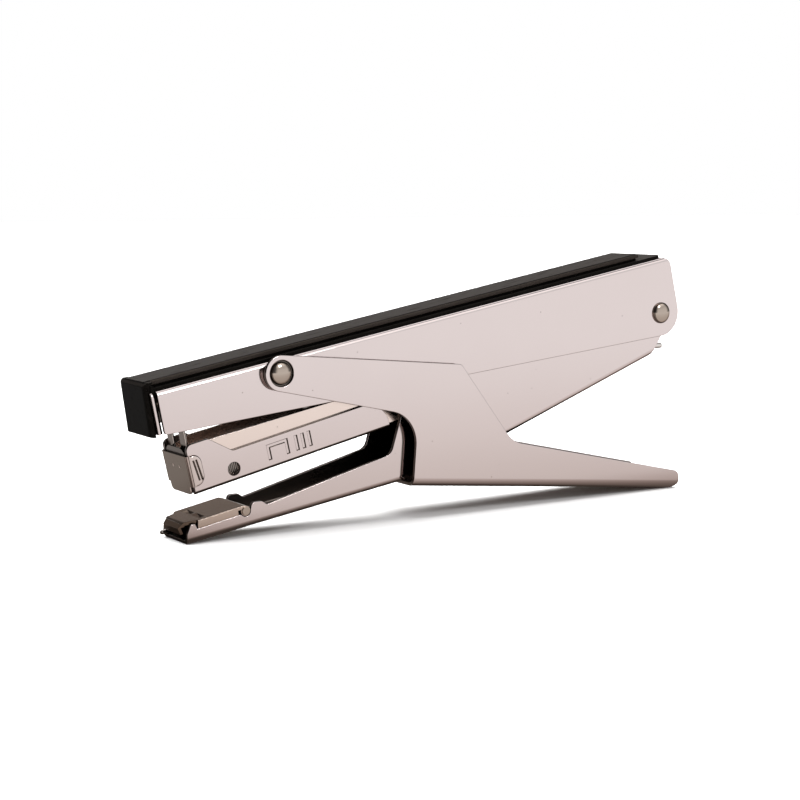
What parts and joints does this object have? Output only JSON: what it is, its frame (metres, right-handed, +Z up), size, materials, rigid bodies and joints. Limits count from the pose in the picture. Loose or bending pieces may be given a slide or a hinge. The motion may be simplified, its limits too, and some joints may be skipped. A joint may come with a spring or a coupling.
{
  "type": "plier stapler",
  "caption": "Hand-held plier stapler of pressed chrome sheet with a black top grip; squeezing the lever closes the jaw and drives a staple.",
  "frame": {"origin": "middle of the object's length and width, on the table it stands on", "axes": "+X from the jaws to the rear pivot, +Y across, +Z up"},
  "size_m": [0.1666, 0.0224, 0.0671],
  "materials": {
    "chrome_plate": "bright chrome plate on pressed sheet steel",
    "black_plastic": "satin black moulded plastic",
    "nickel_plate": "dark nickel, bright",
    "zinc_steel": "zinc-plated steel",
    "hard_steel": "bare hardened steel",
    "rivet_steel": "nickel-plated, bright",
    "spring_steel": "oiled spring steel",
    "staple_wire": "galvanised wire"
  },
  "bodies": {
    "upper_arm": {"upper_arm": "chrome_plate", "top_cover": "black_plastic", "nose_plate": "chrome_plate", "front_rivet": "rivet_steel", "rear_washers": "zinc_steel", "driver_blade": "hard_steel", "driver_clamp": "hard_steel", "driver_rivets": "rivet_steel", "magazine_spring": "spring_steel", "magazine_spring_rivet": "rivet_steel"},
    "lever": {"lever": "chrome_plate"},
    "anvil_arm": {"anvil_arm": "chrome_plate", "anvil_plate": "nickel_plate", "anvil_pin": "rivet_steel", "anvil_lock_spring": "spring_steel", "jaw_spring": "spring_steel", "jaw_spring_rivet": "rivet_steel"},
    "magazine": {"magazine_housing": "chrome_plate", "staple_channel": "zinc_steel", "core_rail": "zinc_steel", "staple_strip": "staple_wire", "head_plate": "nickel_plate", "head_liner": "hard_steel", "rear_rivets": "rivet_steel"},
    "loader": {"guide_rod": "zinc_steel", "rod_stop": "zinc_steel", "rear_plug": "black_plastic", "finger_hook": "rivet_steel"},
    "follower": {"follower": "zinc_steel", "follower_spring": "spring_steel"}
  },
  "joints": [
    {"name": "lever_squeeze", "type": "hinge", "parent": "upper_arm", "child": "lever", "pos_m": [-0.0481, 0, 0.0405], "axis": [0, -1, 0], "range_deg": [0, 11.8], "stiffness_Nm_per_rad": 2, "springref_deg": -14.32},
    {"name": "magazine_press", "type": "hinge", "parent": "upper_arm", "child": "magazine", "pos_m": [0.0752, 0, 0.05045], "axis": [0, 1, 0], "range_deg": [0, 3.1], "deforming": ["magazine_spring"]},
    {"name": "jaw_close", "type": "hinge", "parent": "magazine", "child": "anvil_arm", "pos_m": [0.0752, 0, 0.05045], "axis": [0, 1, 0], "range_deg": [0, 2.27], "deforming": ["jaw_spring"]},
    {"name": "loader_pull", "type": "slide", "parent": "magazine", "child": "loader", "axis": [0.9759, 0, 0.2182], "range_m": [0, 0.14]},
    {"name": "follower_slide", "type": "slide", "parent": "loader", "child": "follower", "axis": [0.9759, 0, 0.2182], "range_m": [0, 0.06], "stiffness_N_per_m": 30, "springref_m": -0.05, "deforming": ["follower_spring"]}
  ],
  "couplings": [
    {"joint": "magazine_press", "follows": "lever_squeeze", "ratio": 0.26271},
    {"joint": "jaw_close", "follows": "lever_squeeze", "ratio": 0.19237}
  ]
}
